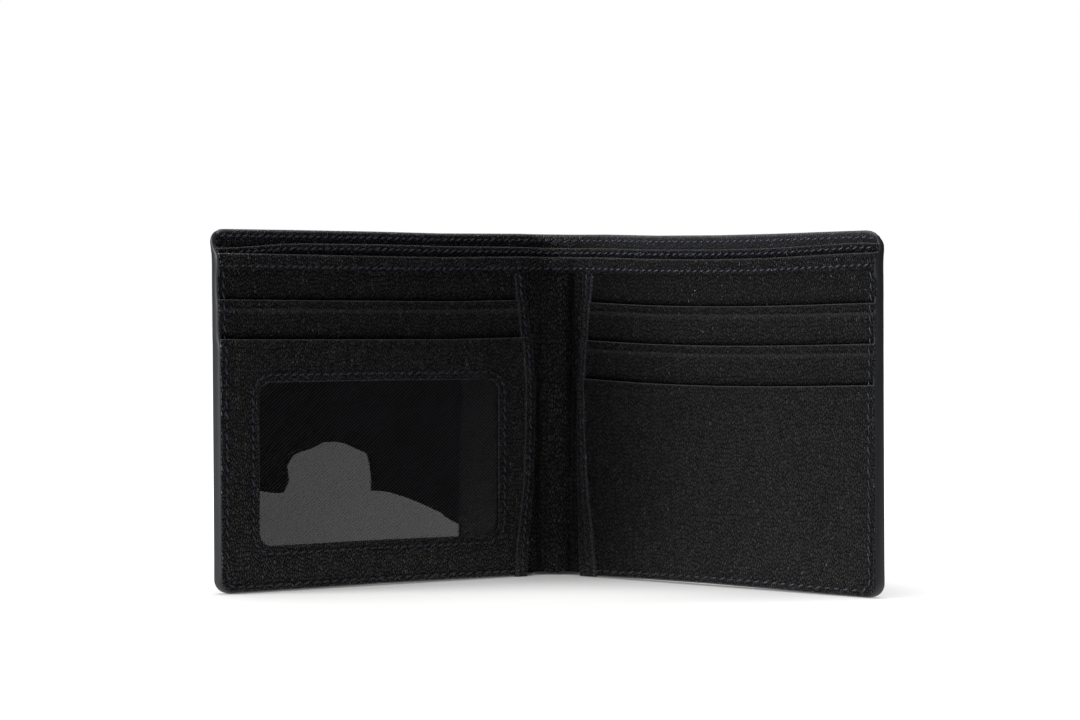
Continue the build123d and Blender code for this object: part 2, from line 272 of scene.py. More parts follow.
def rounded(distance, thickness):
    # Half the thickness of a sheet at some distance from its rounded edge
    radius = thickness / 2
    inside = radius - np.minimum(np.asarray(distance, float), radius)
    return np.sqrt(np.maximum(radius**2 - inside**2, 0))


def acrossFold(piece):
    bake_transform(piece)


def settleIn(piece, side, nodes, bends=False):
    # Attaches a piece to its wing, or bakes its place in if it runs across the fold, and hides the CAD nodes
    # that it stands for
    if bends:
        acrossFold(piece)
    else:
        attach(piece, "left_wing" if side < 0 else "right_wing")
    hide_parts(*nodes)
    return piece


# Shader groups that several materials use
def newGroup(name, inputs, outputs):
    group = bpy.data.node_groups.new(name, "ShaderNodeTree")
    for label, kind, value in inputs:
        socket = group.interface.new_socket(name=label, in_out="INPUT", socket_type=kind)
        if value is not None:
            socket.default_value = value
    for label, kind in outputs:
        group.interface.new_socket(name=label, in_out="OUTPUT", socket_type=kind)
    return group


class Tree:
    # Short ways to add and join shader nodes
    def __init__(self, tree):
        self.tree = tree

    def add(self, kind, inputs=None, **settings):
        node = self.tree.nodes.new(kind)
        for key, value in settings.items():
            setattr(node, key, value)
        for key, value in (inputs or {}).items():
            if isinstance(value, bpy.types.NodeSocket):
                self.tree.links.new(value, node.inputs[key])
            else:
                node.inputs[key].default_value = value
        return node

    def link(self, value, socket):
        self.tree.links.new(value, socket)

    def vector(self, operation, a, b):
        return self.add("ShaderNodeVectorMath", {0: a, 1: b}, operation=operation).outputs[0]

    def noise(self, vector, scale, detail=2.0):
        return self.add("ShaderNodeTexNoise", {"Vector": vector, "Scale": scale, "Detail": detail})

    def scaled(self, a, b):
        return self.math("MULTIPLY", a, b)

    def math(self, operation, a, b=0.0, clamp=False):
        return self.add("ShaderNodeMath", {0: a, 1: b}, operation=operation, use_clamp=clamp).outputs[0]

    def remap(self, value, low, high, newLow, newHigh, smooth=False):
        node = self.add(
            "ShaderNodeMapRange",
            {"Value": value, "From Min": low, "From Max": high, "To Min": newLow, "To Max": newHigh},
            interpolation_type="SMOOTHSTEP" if smooth else "LINEAR",
        )
        return node.outputs["Result"]

    def mixColor(self, share, a, b):
        node = self.add("ShaderNodeMix", {0: share}, data_type="RGBA")
        for socket, value in ((node.inputs[6], a), (node.inputs[7], b)):
            if isinstance(value, bpy.types.NodeSocket):
                self.tree.links.new(value, socket)
            else:
                socket.default_value = value
        return node.outputs[2]


grainShape = {
    "warpScale": 330.0,  # how the pebbles' net is bent
    "warpPush": (0.0011, 0.0011, 0.0),
    "smallCells": 2.1,  # the fine grain inside the pebbles, against their own scale
    "smallHeight": 0.25,
    "broadScale": 110.0,
    "broadHeight": 1.5,
    "lean": 0.8,
}


def makeGrainGroup():
    look = grainShape
    group = newGroup(
        "leatherGrain",
        [
            ("Vector", "NodeSocketVector", None),
            ("Cells", "NodeSocketFloat", 1000.0),
            ("Stretch", "NodeSocketFloat", 0.7),
        ],
        [(label, "NodeSocketFloat") for label in ("Height", "Crevice", "Tone", "Mottle")],
    )
    t = Tree(group)
    inside = t.add("NodeGroupInput")
    out = t.add("NodeGroupOutput")
    stretch = t.add("ShaderNodeCombineXYZ", {0: 1.0, 1: inside.outputs["Stretch"], 2: 1.0}).outputs[0]
    vector = t.vector("MULTIPLY", inside.outputs["Vector"], stretch)
    warp = t.noise(vector, look["warpScale"]).outputs["Color"]
    push = t.vector("MULTIPLY", t.vector("ADD", warp, (-0.5, -0.5, -0.5)), look["warpPush"])
    vector = t.vector("ADD", vector, push)
    cells = inside.outputs["Cells"]

    def pebbles(feature, scale):
        inputs = {"Vector": vector, "Scale": scale}
        return t.add("ShaderNodeTexVoronoi", inputs, feature=feature, voronoi_dimensions="2D")

    edges = pebbles("DISTANCE_TO_EDGE", cells).outputs["Distance"]
    near = pebbles("F1", cells)
    pebble = t.math("POWER", t.remap(edges, 0.0, 0.4, 0.0, 1.0), 0.7)
    tone = t.add("ShaderNodeSeparateColor", {0: near.outputs["Color"]})
    # each pebble leans its own way
    centre = t.vector("SUBTRACT", near.outputs["Position"], vector)
    lean = t.add("ShaderNodeCombineXYZ", {
        0: t.math("SUBTRACT", tone.outputs[1], 0.5), 1: t.math("SUBTRACT", tone.outputs[2], 0.5)
    }).outputs[0]
    lean = t.add("ShaderNodeVectorMath", {0: centre, 1: lean}, operation="DOT_PRODUCT").outputs["Value"]
    lean = t.scaled(t.scaled(lean, cells), look["lean"])
    small = pebbles("DISTANCE_TO_EDGE", t.scaled(cells, look["smallCells"])).outputs["Distance"]
    broad = t.noise(vector, look["broadScale"], 3.0).outputs["Fac"]
    total = t.math("ADD", t.scaled(pebble, t.remap(tone.outputs[0], 0.0, 1.0, 0.6, 1.0)), lean)
    total = t.math("ADD", total, t.scaled(t.remap(small, 0.0, 0.3, 0.0, 1.0), look["smallHeight"]))
    total = t.math("ADD", total, t.scaled(broad, look["broadHeight"]))
    t.link(total, out.inputs["Height"])
    t.link(t.math("SUBTRACT", 1.0, pebble), out.inputs["Crevice"])
    t.link(tone.outputs[0], out.inputs["Tone"])
    t.link(broad, out.inputs["Mottle"])
    return group


def makeWeaveGroup():
    group = newGroup(
        "twillWeave",
        [
            ("Vector", "NodeSocketVector", None),
            ("Wales", "NodeSocketFloat", 1.0),
            ("Slope", "NodeSocketFloat", 1.0),
        ],
        [("Height", "NodeSocketFloat"), ("Ridge", "NodeSocketFloat")],
    )
    t = Tree(group)
    inside = t.add("NodeGroupInput")
    out = t.add("NodeGroupOutput")
    axes = t.add("ShaderNodeSeparateXYZ", {0: inside.outputs["Vector"]})
    run = t.scaled(axes.outputs[0], inside.outputs["Slope"])
    phase = t.scaled(t.math("ADD", run, axes.outputs[1]), inside.outputs["Wales"])
    wale = t.scaled(t.math("ADD", t.math("SINE", phase), 1.0), 0.5)
    crossing = t.scaled(t.math("SUBTRACT", axes.outputs[1], axes.outputs[0]), inside.outputs["Wales"])
    yarn = t.scaled(t.math("ADD", t.math("SINE", t.scaled(crossing, 3.0)), 1.0), 0.5)
    fuzz = t.noise(inside.outputs["Vector"], 900.0).outputs["Fac"]
    total = t.math("ADD", wale, t.scaled(yarn, 0.3))
    total = t.math("ADD", total, t.scaled(fuzz, 0.15))
    t.link(total, out.inputs["Height"])
    t.link(wale, out.inputs["Ridge"])
    return group


def makeDustGroup():
    group = newGroup(
        "dustSpecks",
        [("Vector", "NodeSocketVector", None), ("Amount", "NodeSocketFloat", 0.05)],
        [("Mask", "NodeSocketFloat")],
    )
    t = Tree(group)
    inside = t.add("NodeGroupInput")
    out = t.add("NodeGroupOutput")
    cell = t.add("ShaderNodeTexVoronoi", {"Vector": inside.outputs["Vector"], "Scale": 260.0}, feature="F1")
    chance = t.add("ShaderNodeSeparateColor", {0: cell.outputs["Color"]}).outputs[1]
    keep = t.math("LESS_THAN", chance, inside.outputs["Amount"])
    speck = t.remap(cell.outputs["Distance"], 0.02, 0.05, 1.0, 0.0, smooth=True)
    t.link(t.scaled(keep, speck), out.inputs["Mask"])
    return group


def newMaterial(name):
    material = bpy.data.materials.new(name)
    material.use_nodes = True
    nodes = material.node_tree.nodes
    return material, Tree(material.node_tree), nodes["Principled BSDF"]


def bumped(t, shader, height, strength, distance):
    bump = t.add("ShaderNodeBump", {"Height": height, "Strength": strength, "Distance": distance})
    t.link(bump.outputs["Normal"], shader.inputs["Normal"])


def grey(r, g, b):
    return (r, g, b, 1.0)


def makeLeather(name, settings):
    material, t, shader = newMaterial(name)
    where = t.add("ShaderNodeUVMap", uv_map="flatUv").outputs["UV"]
    grain = t.add("ShaderNodeGroup", node_tree=grainGroup)
    t.link(where, grain.inputs["Vector"])
    grain.inputs["Cells"].default_value = settings["cells"]
    grain.inputs["Stretch"].default_value = settings["stretch"]
    body = t.mixColor(grain.outputs["Mottle"], settings["dark"], settings["light"])
    body = t.mixColor(t.remap(grain.outputs["Tone"], 0.0, 1.0, 0.45, 0.0), body, settings["darkToneAndShade"])
    # painted shade in the grain's crevices
    body = t.mixColor(t.remap(grain.outputs["Crevice"], 0.05, 0.75, 0.0, 1.0), body, settings["darkToneAndShade"])
    # painted shade from the sheets' shade mask, mixed into the colour
    dark = t.add("ShaderNodeAttribute", attribute_name="shade").outputs["Fac"]
    body = t.mixColor(dark, body, settings["darkToneAndShade"])
    # painted highlight along edges, mixed into the colour
    edgeHighlight = t.add("ShaderNodeAttribute", attribute_name="edgeHighlight").outputs["Fac"]
    edgeHighlight = t.math("MULTIPLY", edgeHighlight, settings["highlightShare"], clamp=True)
    body = t.mixColor(edgeHighlight, body, settings["highlightColor"])
    dust = t.add("ShaderNodeGroup", node_tree=dustGroup)
    t.link(where, dust.inputs["Vector"])
    dust.inputs["Amount"].default_value = settings["dust"]
    body = t.mixColor(t.scaled(dust.outputs["Mask"], 0.5), body, grey(0.25, 0.25, 0.24))
    t.link(body, shader.inputs["Base Color"])
    rough = t.math("ADD", t.scaled(grain.outputs["Crevice"], 0.35), settings["rough"])
    rough = t.math("ADD", rough, t.remap(grain.outputs["Tone"], 0.0, 1.0, 0.12, -0.05))
    t.link(rough, shader.inputs["Roughness"])
    # painted shade: a near-black metal has no sheen, so the grain's crevices and the painted shade, such as
    # the mouths of slots, stay dark; the painted edge highlight keeps its sheen
    sheen = t.remap(grain.outputs["Crevice"], 0.3, 0.9, 1.0, 0.05)
    sheen = t.scaled(sheen, t.remap(grain.outputs["Tone"], 0.0, 1.0, 0.55, 1.0))
    sheen = t.scaled(sheen, t.math("SUBTRACT", 1.0, dark, clamp=True))
    sheen = t.math("MAXIMUM", sheen, edgeHighlight)
    t.link(t.math("SUBTRACT", 1.0, sheen, clamp=True), shader.inputs["Metallic"])
    shader.inputs["Specular IOR Level"].default_value = settings["specular"]
    bumped(t, shader, grain.outputs["Height"], settings["bump"], settings["bumpDepth"])
    return material


leatherLook = {
    "cells": 1900.0,
    "stretch": 0.45,
    "dark": grey(0.0120, 0.0120, 0.0162),
    "light": grey(0.0280, 0.0255, 0.0290),
    "darkToneAndShade": grey(0.0003, 0.0003, 0.0005),
    # how strong and how pale the painted highlight along edges is
    "highlightShare": 0.9,
    "highlightColor": grey(0.095, 0.098, 0.11),
    "rough": 0.28,
    "specular": 0.95,
    "bump": 1.0,
    "bumpDepth": 0.0009,
    "dust": 0.0015,
}
grainGroup = makeGrainGroup()
weaveGroup = makeWeaveGroup()
dustGroup = makeDustGroup()
leather = makeLeather("blackGoatLeather", leatherLook)
softLeather = makeLeather("softCentreLeather", leatherLook | {
    "rough": 0.4, "cells": 1700.0, "highlightShare": 0.0, "specular": 0.75,
    "dark": grey(0.015, 0.015, 0.017), "light": grey(0.042, 0.038, 0.037),
})
# The cover and trim copies differ from the leather only in their painted edge highlight
coverLook = leatherLook | {"highlightShare": 1.0, "highlightColor": grey(0.13, 0.135, 0.15)}
coverLeather = makeLeather("coverLeather", coverLook)
trimLeather = makeLeather("foldedTrimLeather", leatherLook | {"highlightColor": grey(0.085, 0.086, 0.097)})


def makeEdgePaint(settings):
    material, t, shader = newMaterial("edgePaint")
    where = t.add("ShaderNodeTexCoord").outputs["Object"]
    cloud = t.noise(where, 160.0, 4.0).outputs["Fac"]
    ripple = t.noise(where, 900.0).outputs["Fac"]
    t.link(t.mixColor(cloud, settings["dark"], settings["light"]), shader.inputs["Base Color"])
    rough = t.remap(cloud, 0.3, 0.7, settings["rough"], settings["rough"] + settings["patchy"])
    t.link(rough, shader.inputs["Roughness"])
    shader.inputs["Specular IOR Level"].default_value = settings["specular"]
    bumped(t, shader, t.math("ADD", cloud, t.scaled(ripple, 0.3)), 0.25, 0.00008)
    return material


def makeThread(settings):
    material, t, shader = newMaterial("navyThread")
    where = t.add("ShaderNodeTexCoord").outputs["Object"]
    fibre = t.noise(where, 6000.0).outputs["Fac"]
    t.link(t.mixColor(fibre, settings["dark"], settings["light"]), shader.inputs["Base Color"])
    shader.inputs["Roughness"].default_value = settings["rough"]
    shader.inputs["Specular IOR Level"].default_value = settings["specular"]
    bumped(t, shader, fibre, 0.5, 0.00006)
    return material


def makeNeedleHoleShade():
    # Near-black and matt: painted shade for the needle holes
    material, t, shader = newMaterial("needleHoleShade")
    where = t.add("ShaderNodeTexCoord").outputs["Object"]
    holeShade = t.add("ShaderNodeTexNoise", {"Vector": where, "Scale": 4000.0}).outputs["Fac"]
    holeShade = t.mixColor(holeShade, grey(0.0002, 0.0002, 0.0003), grey(0.001, 0.001, 0.0014))
    t.link(holeShade, shader.inputs["Base Color"])
    shader.inputs["Roughness"].default_value = 1.0
    shader.inputs["Specular IOR Level"].default_value = 0.0
    return material


needleHoleShade = makeNeedleHoleShade()


def makeTwill(name, settings, flat=True):
    material, t, shader = newMaterial(name)
    if flat:
        where = t.add("ShaderNodeUVMap", uv_map="flatUv").outputs["UV"]
    else:
        where = t.add("ShaderNodeTexCoord").outputs["Object"]
    weave = t.add("ShaderNodeGroup", node_tree=weaveGroup)
    t.link(where, weave.inputs["Vector"])
    weave.inputs["Wales"].default_value = settings["wales"]
    weave.inputs["Slope"].default_value = settings["slope"]
    t.link(
        t.mixColor(weave.outputs["Ridge"], settings["dark"], settings["light"]), shader.inputs["Base Color"]
    )
    shader.inputs["Roughness"].default_value = settings["rough"]
    shader.inputs["Specular IOR Level"].default_value = settings["specular"]
    bumped(t, shader, weave.outputs["Height"], 0.5, 0.0001)
    return material


def makeFilm(settings):
    material, t, shader = newMaterial("clearWindowFilm")
    where = t.add("ShaderNodeTexCoord").outputs["Object"]
    haze = t.noise(where, 90.0, 4.0).outputs["Fac"]
    t.link(t.mixColor(haze, settings["dull"], settings["color"]), shader.inputs["Base Color"])
    shader.inputs["Roughness"].default_value = settings["rough"]
    shader.inputs["IOR"].default_value = settings["ior"]
    shader.inputs["Transmission Weight"].default_value = 1.0
    return material


edgePaint = makeEdgePaint({
    "dark": grey(0.008, 0.009, 0.011), "light": grey(0.012, 0.0135, 0.0165),
    "rough": 0.42, "patchy": 0.12, "specular": 0.41,
})
thread = makeThread({
    "dark": grey(0.004, 0.004, 0.010), "light": grey(0.022, 0.0235, 0.046), "rough": 0.4, "specular": 0.45,
})
twillLook = {
    "dark": grey(0.0012, 0.0012, 0.0016), "light": grey(0.05, 0.05, 0.057),
    "wales": 6600.0, "slope": -0.85, "rough": 0.85, "specular": 0.1,
}
twill = makeTwill("blackTwill", twillLook)
tabTwill = makeTwill("tabTwill", twillLook, flat=False)
film = makeFilm({"dull": grey(0.86, 0.87, 0.89), "color": grey(0.97, 0.98, 0.99), "rough": 0.0, "ior": 1.55})
say("materials made")


# The card stack's visible front, with its steps softened, for what lies over it
def stackFront(side, z):
    top = [(lowerSlot, 4.1, 3.2), (upperSlot, 3.2, 2.75)]
    if side > 0:
        top = [(thirdSlot, 4.1, 3.65), (lowerSlot, 3.65, 3.2), (upperSlot, 3.2, 2.75)]
    z = np.asarray(z, float)
    front = np.full_like(z, 4.1)
    for at, below, above in top:
        front = front - (below - above) * ease((z - at + 0.5) / 1.6)
    return front


# The two bindings' inner and outer lines, from (height, distance from the fold line)
bindingLines = {
    -1: {"inner": [(0, 6.7), (7, 6.4), (28, 4.6), (50, 4.0), (66, 5.2), (81, 6.9)],
         "outer": [(0, 10.9), (7, 10.7), (28, 8.2), (50, 7.6), (66, 8.7), (81, 10.4)]},
    1: {"inner": [(0, 4.9), (7, 4.5), (23, 3.95), (45, 3.8), (62, 4.1), (81, 4.7)],
        "outer": [(0, 11.0), (7, 10.5), (23, 8.1), (38, 6.9), (53, 6.5), (66, 7.2), (81, 8.6)]},
}


def bindingLine(side, which, z):
    # A smooth curve through the line's points
    points = bindingLines[side][which]
    heights = np.array([p[0] for p in points], float)
    values = np.array([p[1] for p in points], float)
    fine = np.linspace(heights[0], heights[-1], 200)
    line = np.interp(fine, heights, values)
    kernel = np.hanning(41)
    padded = np.concatenate([np.full(20, line[0]), line, np.full(20, line[-1])])
    line = np.convolve(padded, kernel / kernel.sum(), mode="valid")
    return foldHalf + np.interp(z, fine, line)


# Free top edges, each as a height over s
def hemTop(side, s):
    t = np.clip((s - foldHalf) / coverEnd, 0, 1)
    sag = 0.3 if side < 0 else 0.25
    return wallTop - 0.15 - sag * np.sin(math.pi * t) ** 2 + (0.5 * ease((t - 0.6) / 0.4) if side > 0 else 0)


def hemLow(side, s):
    return hemTop(side, s) - 4.4


def trimTop(side, s):
    t = np.clip((s - foldHalf) / coverEnd, 0, 1)
    if side > 0:
        return dividerTop + 0.3 - 0.1 * np.sin(math.pi * t) + 0.7 * ease((t - 0.6) / 0.4)
    return dividerTop + 0.3 + 0.3 * np.sin(math.pi * t) - 1.2 * ease((t - 0.75) / 0.25)


def slotTop(side, at, sag, lift=0.0):
    def top(s):
        t = np.clip((s - foldHalf - 6) / (coverEnd - 7), 0, 1)
        return at + lift - sag * np.sin(math.pi * t ** 0.9)
    return top


centreSheet = {"reach": 7.6, "step": 0.3, "pushed": {"noteWall": 0.85, "divider": 0.35}}
trimCrown = 0.12  # how full the folded trims are, before they are pressed
coverSheet = {"step": 1.6, "lipDrop": 12.0, "lean": 1.1}


def lean(z):
    # How far the cover's top leans back from the rest
    return coverSheet["lean"] * np.clip((np.asarray(z, float) - (height - 9.0)) / 9.0, 0, 1) ** 1.5


def makeCover(side):
    far = reach - edge["inset"]
    s = spread(0, far, coverSheet["step"], coverHalf, [foldHalf + k for k in np.linspace(-3, 3, 13)])
    s = s[s >= 0]
    lipSteps = [height - coverSheet["lipDrop"] + k for k in (-0.3, 0, 0.2, 0.4)]
    z = spread(edge["inset"], height, 2.2, 0.6, lipSteps)
    z = np.unique(np.append(z, height - np.append(np.arange(0.9, 5.4, 0.3), [0.05, 0.15, 0.3, 0.45, 0.65])))
    grid = np.meshgrid(s, z, indexing="ij")
    lip = ease((grid[1] - (height - coverSheet["lipDrop"])) / 0.4)
    thick = (level["cover"][1] - level["cover"][0]) + lip * (level["lip"][1] - level["lip"][0])
    mid = lip * (level["lip"][1] - level["lip"][0]) / 2
    topGap = height - grid[1]
    near = np.minimum(np.minimum(grid[1] - edge["inset"], far - grid[0]), topGap)
    half = rounded(near, thick)
    mid = mid + wave(side * grid[0], grid[1], 34, 0.05, 3) - lean(grid[1])
    gs, gz = roundCorner(grid[0], grid[1], high=True, far=far)
    # A painted highlight along the top edge, and on the right wing painted light on the lip, fading in over 24
    # mm from the spine's middle
    edgeHighlight = np.exp(-((topGap / 0.5) ** 2))
    paintedLipLight = (0.2 if side > 0 else 0.0) * lip * ease(grid[0] / 24)
    # Painted shade on the cover just above the divider trim's top edge
    shade = 0.45 * slotShade(grid[1], trimTop(side, grid[0]))
    name = f"cover{sideName[side]}"
    return shell(name, side, gs, gz, mid, half, coverLeather, edgeHighlight=edgeHighlight, shade=shade, paintedLipLight=paintedLipLight)


def slotShade(z, line):
    # Painted shade: the dark line in the mouth of a slot, just above the edge of the sheet in front
    return 0.62 * np.exp(-(((z - line - 0.15) / 0.35) ** 2)) + 0.3 * np.exp(-(((z - line - 0.6) / 0.9) ** 2))


def paintedShadeNearBinding(side, s):
    # Painted shade on the right wing near the binding, fading out over 40 mm; it darkens the colour and takes
    # off the sheen
    return 0.34 * (1 - ease((s - foldHalf - 5) / 40)) if side > 0 else 0 * s


def plainSheet(name, side, area, layer, material, step=3.0, uneven=0.03, seed=1, line=None):
    # A flat sheet between two levels, whose lower outer corner follows the wallet's. Its area is
    # (near, far, low, high).
    near, far, low, high = area
    back, front = level[layer]
    thick = front - back
    s = spread(near, far, step, thick / 2, [foldHalf + k for k in np.linspace(-3, 3, 9)])
    s = s[(s >= near) & (s <= far)]
    z = spread(low, high, step, thick / 2)
    if line:
        z = np.unique(np.append(z, upperSlot + np.arange(-1.4, 2.6, 0.2)))
    grid = np.meshgrid(s, z, indexing="ij")
    inner = grid[0] - near if near > 0 else np.full_like(grid[0], 9.0)
    gap = np.minimum(np.minimum(grid[1] - low, high - grid[1]), np.minimum(far - grid[0], inner))
    mid = (back + front) / 2 + wave(side * grid[0], grid[1], 30, uneven, seed)
    if layer in centreSheet["pushed"]:  # the soft centre presses on what is behind it
        mid = mid - centreSheet["pushed"][layer] * (1 - ease((grid[0] - foldHalf - 3) / 4))
    gs, gz = roundCorner(grid[0], grid[1], far=far)
    # Painted shade above the edge of the pocket in front, and near the right binding
    shade = slotShade(grid[1], line(grid[0])) + paintedShadeNearBinding(side, grid[0]) if line else None
    return shell(name, side, gs, gz, mid, rounded(gap, thick), material, shade=shade)


def foldedTrim(name, side, topAt, lowAt, layer, seed):
    # Leather folded over a sheet's top, from the middle of the spine to the outer edge
    back, front = level[layer]
    thick = front - back
    far = reach - edge["inset"]
    s = spread(0, far, 1.5, thick / 2, [foldHalf + k for k in np.linspace(-3, 3, 13)])
    s = s[s >= 0]
    depth = float(np.mean(topAt(side, s) - lowAt(side, s)))
    v = spread(0, depth, 0.45, thick / 2)
    grid = np.meshgrid(s, v, indexing="ij")
    share = grid[1] / depth
    low = lowAt(side, grid[0])
    z = low + share * (topAt(side, grid[0]) - low)
    topGap = (1 - share) * depth
    half = rounded(np.minimum(topGap, np.minimum(grid[1] + 0.12, far - grid[0])), thick)
    mid = (back + front) / 2 + wave(side * grid[0], z, 14, 0.035, seed)
    bulge = trimCrown * np.sin(np.clip(share, 0, 1) * math.pi)
    # A painted highlight along the folded top edge; on the divider trim, painted shade just above the top edge
    # of the hem in front
    edgeHighlight = np.exp(-((topGap / 0.26) ** 2))
    shade = 0.5 * slotShade(z, hemTop(side, grid[0])) if layer == "trim" else None
    return shell(name, side, grid[0], z, mid + bulge * 0.3, half, trimLeather, edgeHighlight=edgeHighlight, shade=shade)


cardLook = {"crease": 2.0, "flare": 0.3}  # the pressed line below the edge, and the edge's lift


def cardSheet(name, side, low, topAt, layer, seed, creaseDepth=0.16, line=None):
    # A card pocket: its free top edge sags a little, with a pressed line below it
    back, front = level[layer]
    thick = front - back
    far = reach - edge["inset"]
    near = foldHalf + 8.5
    nominal = float(topAt(np.array([foldHalf + 50.0]))[0])
    s = spread(near, far, 1.5, thick / 2)
    crease = cardLook["crease"]
    lineSteps = [nominal - crease + 0.25 * k for k in (-2, -1, -0.5, 0, 0.5, 1, 2)]
    z = spread(low, nominal, 1.8, thick / 2, lineSteps)
    z = np.unique(np.append(z, nominal - np.array([0.3, 0.45, 0.7, 1.0, 1.4])))
    if line:
        z = np.unique(np.append(z, nominal - 10.3 + np.arange(-1.6, 2.8, 0.2)))
    z = z[(z >= low) & (z <= nominal)]
    grid = np.meshgrid(s, z, indexing="ij")
    share = (grid[1] - low) / (nominal - low)
    grain = np.clip((grid[0] - near) / (far - near), 0, 1)
    innerShift = bindingLine(side, "inner", grid[1]) + 1.2 - near
    gs = grid[0] + (1 - grain) * innerShift
    gz = grid[1] + share * (topAt(gs) - nominal)
    topGap = nominal - grid[1]
    gap = np.minimum(np.minimum(topGap, far - grid[0]), np.minimum(grid[1] - low, grid[0] - near))
    mid = (back + front) / 2
    mid = mid + wave(gs, gz, 22, 0.05, seed) * ease(topGap / 6 + 0.3)
    mid = mid + dip(topGap - crease, creaseDepth, 0.28)
    held = np.sin(math.pi * np.clip(grain * 0.96 + 0.02, 0, 1)) ** 0.5
    mid = mid + cardLook["flare"] * np.exp(-topGap / 1.6) * held
    mid = mid + dip(reach - gs - 2.0, 0.06, 0.5) * (reach - gs < 6)
    if low < 5:
        mid = mid + dip(gz - 1.8, 0.06, 0.5)
    # A painted highlight along the top edge and a fainter one just below the pressed line; painted shade near
    # the right binding and above the edge of the pocket in front
    edgeHighlight = np.exp(-((topGap / 0.22) ** 2))
    edgeHighlight = edgeHighlight + 2.2 * creaseDepth * np.exp(-(((topGap - crease - 0.4) / 0.2) ** 2))
    if low < 5:
        gs, gz = roundCorner(gs, gz, far=far)
    shade = paintedShadeNearBinding(side, gs) + (slotShade(gz, line(gs)) if line else 0)
    return shell(name, side, gs, gz, mid, rounded(gap, thick), leather, edgeHighlight=edgeHighlight, shade=shade)


def makeBinding(side):
    # The strip folded over the pockets' inner ends: a crowned face that turns down over the edge
    z = np.unique(np.concatenate([np.linspace(0.35, height - 10.2, 90), [0.1, 0.2]]))
    inner = bindingLine(side, "inner", z)
    outer = bindingLine(side, "outer", z)
    front = stackFront(side, z) + bindingPad
    base = level["base"][1] - 0.2
    profile = []
    for share in np.linspace(0, 1, 9):  # face, from the pocket side to the fold side
        lift = 0.05 + 0.12 * math.sin(math.pi * min(share * 1.2, 1.0)) - 0.2 * (1 - ease(share / 0.2))
        profile.append((outer + (inner + 0.5 - outer) * share, front - 0.12 + lift))
    for angle in np.linspace(0.2, 1.0, 6) * math.pi / 2:  # over the edge
        profile.append((inner + 0.5 - 0.5 * math.sin(angle), front - 0.07 - 0.5 * (1 - math.cos(angle))))
    profile.append((inner + 0.02, base + (front - base) * 0.35))
    profile.append((inner + 0.1, 0 * z + base))
    profile.append((inner + 0.7, 0 * z + base))
    profile.append((inner + 0.8, front - 0.55))
    profile.append((outer, front - 0.45))
    s = np.array([p[0] for p in profile])
    n = np.array([p[1] for p in profile])
    wobble = wave(np.full_like(z, 3.0 * side), z, 9, 0.09, 11 + side)
    s = s + wobble[None, :]
    edgeHighlight = np.zeros(s.shape)
    edgeHighlight[1:2, :] = 0.55  # painted highlight along the pocket side
    edgeHighlight[9:12, :] = 0.25  # and a fainter painted highlight where it turns over
    name = f"pocketBinding{sideName[side]}"
    return sweptPiece(name, side, s, np.broadcast_to(z, s.shape), n, edgeHighlight, leather)


def makeEdgeBand(side):
    # The painted edge, swept along the foot, round the corner and up the outer side
    radius = edge["corner"]
    path = []
    for s in np.unique(np.concatenate([np.linspace(0, 12, 25), np.linspace(12, reach - radius, 50)])):
        path.append((s, 0.0, 0.0, -1.0))
    for angle in np.linspace(0, math.pi / 2, 10)[1:-1]:
        ds, dz = math.sin(angle), -math.cos(angle)
        path.append((reach - radius + radius * ds, radius + radius * dz, ds, dz))
    for z in np.linspace(radius, height - radius, 60):
        path.append((reach, z, 1.0, 0.0))
    for angle in np.linspace(0, math.pi / 2, 12)[1:]:
        ds, dz = math.cos(angle), math.sin(angle)
        path.append((reach - radius + radius * ds, height - radius + radius * dz, ds, dz))
    path = np.array(path)
    s, z, ds, dz = path.T
    front = stackFront(side, z) - 0.02
    hemRise = (level["hem"][1] - 2.75) * ease((z - wallTop + 6) / 2)
    front = np.where(z > wallTop - 6, front + hemRise, front)
    front = front - (front - level["trim"][1]) * ease((z - wallTop + 0.4) / 1.2)
    front = front - (front - level["lip"][1]) * ease((z - dividerTop + 1.2) / 1.4)
    centre = ease((foldHalf + 5.5 - s) / 2.5)
    front = front - centre * (front - (level["base"][1] - 0.1))
    front = front - lean(z)
    back = level["cover"][0] + 0.01 - lean(z)
    ending = ease((height - z) / 0.8) * 0.85 + 0.15
    shares = np.sin(np.linspace(-1, 1, 15) * math.pi / 2)
    rows = []
    for share in shares:
        out = edge["depth"] * ((1 - abs(share) ** edge["power"]) ** (1 / edge["power"]) - 1)
        n = (front + back) / 2 + share * (front - back) / 2
        out = out * ending + (1 - ending) * -edge["depth"] * 0.5
        rows.append((s + ds * out, z + dz * out, n))
    s, z, n = [np.array([row[k] for row in rows]) for k in range(3)]
    return sweptPiece(f"edgeBand{sideName[side]}", side, s, z, n, np.zeros(s.shape), edgePaint)


